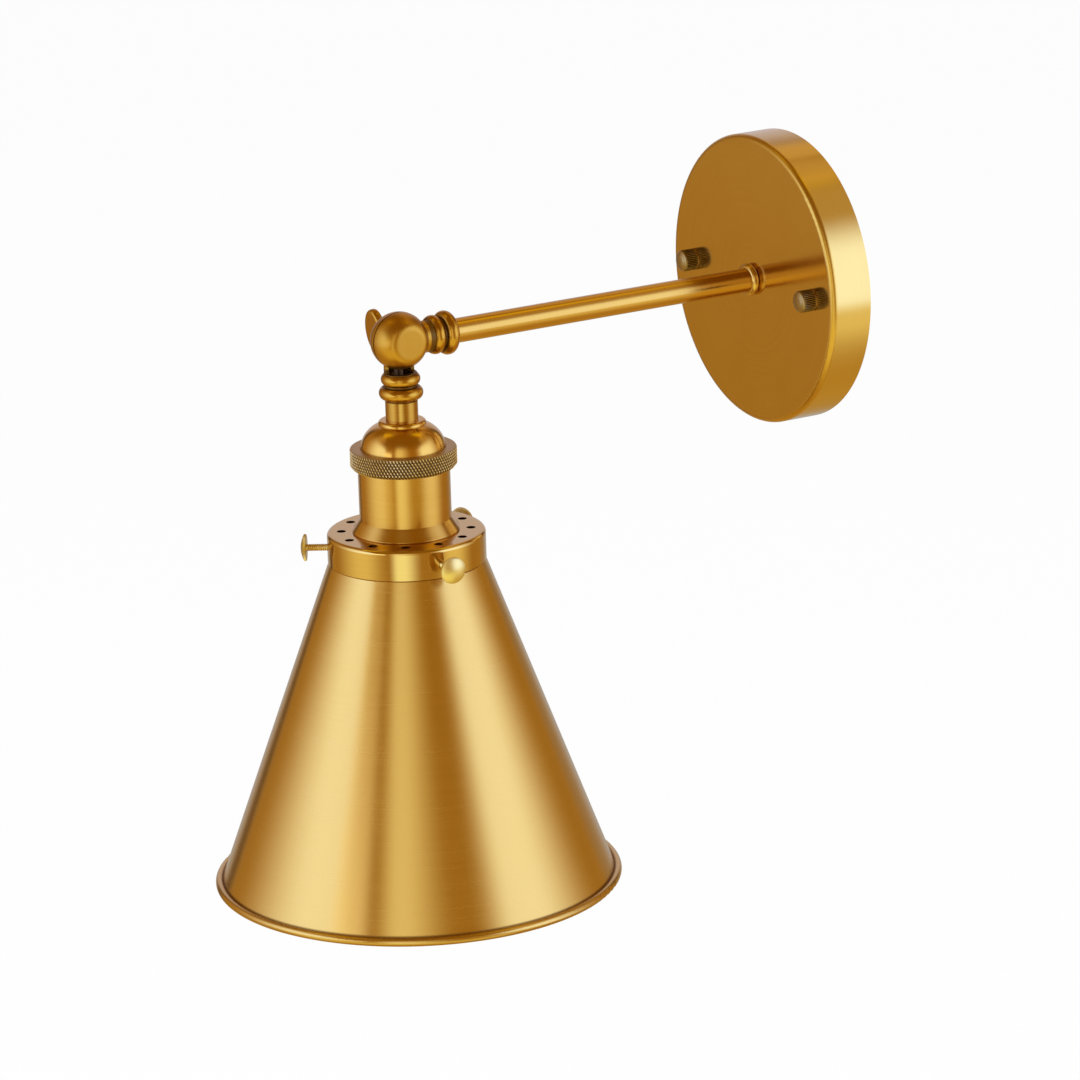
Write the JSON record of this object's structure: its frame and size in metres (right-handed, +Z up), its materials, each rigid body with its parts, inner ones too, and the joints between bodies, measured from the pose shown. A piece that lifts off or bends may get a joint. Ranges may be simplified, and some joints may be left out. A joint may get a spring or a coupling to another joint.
{
  "type": "adjustable wall lamp",
  "caption": "Brass wall lamp whose cone shade tilts on a split ball knuckle, locked by a wing screw, at the end of a straight arm on a round backplate.",
  "frame": {"origin": "on the wall plane, at the middle of the backplate and of the wall bar", "axes": "+Y into the wall, so the arm leaves along -Y; +Z up; +X to the right seen from the room"},
  "size_m": [0.1658, 0.2681, 0.2858],
  "materials": {
    "satin_brass": "fine circular brushing, lacquered",
    "antique_brass": "knurled, darkened in the cuts",
    "bright_brass": "polished",
    "lampholder_brass": "plain pressed",
    "zinc_steel": "zinc plated",
    "porcelain": "glazed",
    "fibre": "pressed fibre",
    "earth_green": "green plated",
    "lead_sleeve": "smooth insulation"
  },
  "bodies": {
    "wall_arm": {"backplate": "satin_brass", "wall_bar": "zinc_steel", "bar_studs": "zinc_steel", "stud_lock_nuts": "zinc_steel", "ground_screw": "earth_green", "cap_nuts": "antique_brass", "arm_tube": "satin_brass", "arm_collar": "satin_brass", "arm_washer": "zinc_steel", "arm_lock_nut": "zinc_steel", "arm_leads": "lead_sleeve", "knuckle_arm_half": "satin_brass", "friction_washer": "fibre"},
    "lamp_head": {"knuckle_head_half": "satin_brass", "neck_nipple": "zinc_steel", "neck_sleeve": "satin_brass", "socket_cap": "satin_brass", "cap_lock_nut": "zinc_steel", "knurled_ring": "antique_brass", "socket_shell": "satin_brass", "insulator": "porcelain", "screw_shell": "lampholder_brass", "centre_contact": "lampholder_brass", "terminal_screws": "lampholder_brass", "lamp_leads": "lead_sleeve", "shade_fitter": "satin_brass", "fitter_ring": "zinc_steel", "cone_shade": "satin_brass"},
    "wing_screw": {"wing_screw": "satin_brass"},
    "shade_screw_1": {"shade_screw_1": "bright_brass"},
    "shade_screw_2": {"shade_screw_2": "bright_brass"},
    "shade_screw_3": {"shade_screw_3": "bright_brass"}
  },
  "joints": [
    {"name": "head_tilt", "type": "hinge", "parent": "wall_arm", "child": "lamp_head", "pos_m": [0, -0.18525, 0], "axis": [-1, 0, 0], "range_deg": [-25, 180]},
    {"name": "wing_turn", "type": "hinge", "parent": "wall_arm", "child": "wing_screw", "pos_m": [0, -0.18525, 0], "axis": [1, 0, 0], "range_deg": [-270, 0]},
    {"name": "shade_screw_1_out", "type": "slide", "parent": "lamp_head", "child": "shade_screw_1", "axis": [0.9986, -0.0523, 0], "range_m": [0, 0.0015]},
    {"name": "shade_screw_2_out", "type": "slide", "parent": "lamp_head", "child": "shade_screw_2", "axis": [-0.5446, -0.8387, 0], "range_m": [0, 0.0015]},
    {"name": "shade_screw_3_out", "type": "slide", "parent": "lamp_head", "child": "shade_screw_3", "axis": [-0.454, 0.891, 0], "range_m": [0, 0.0015]}
  ]
}
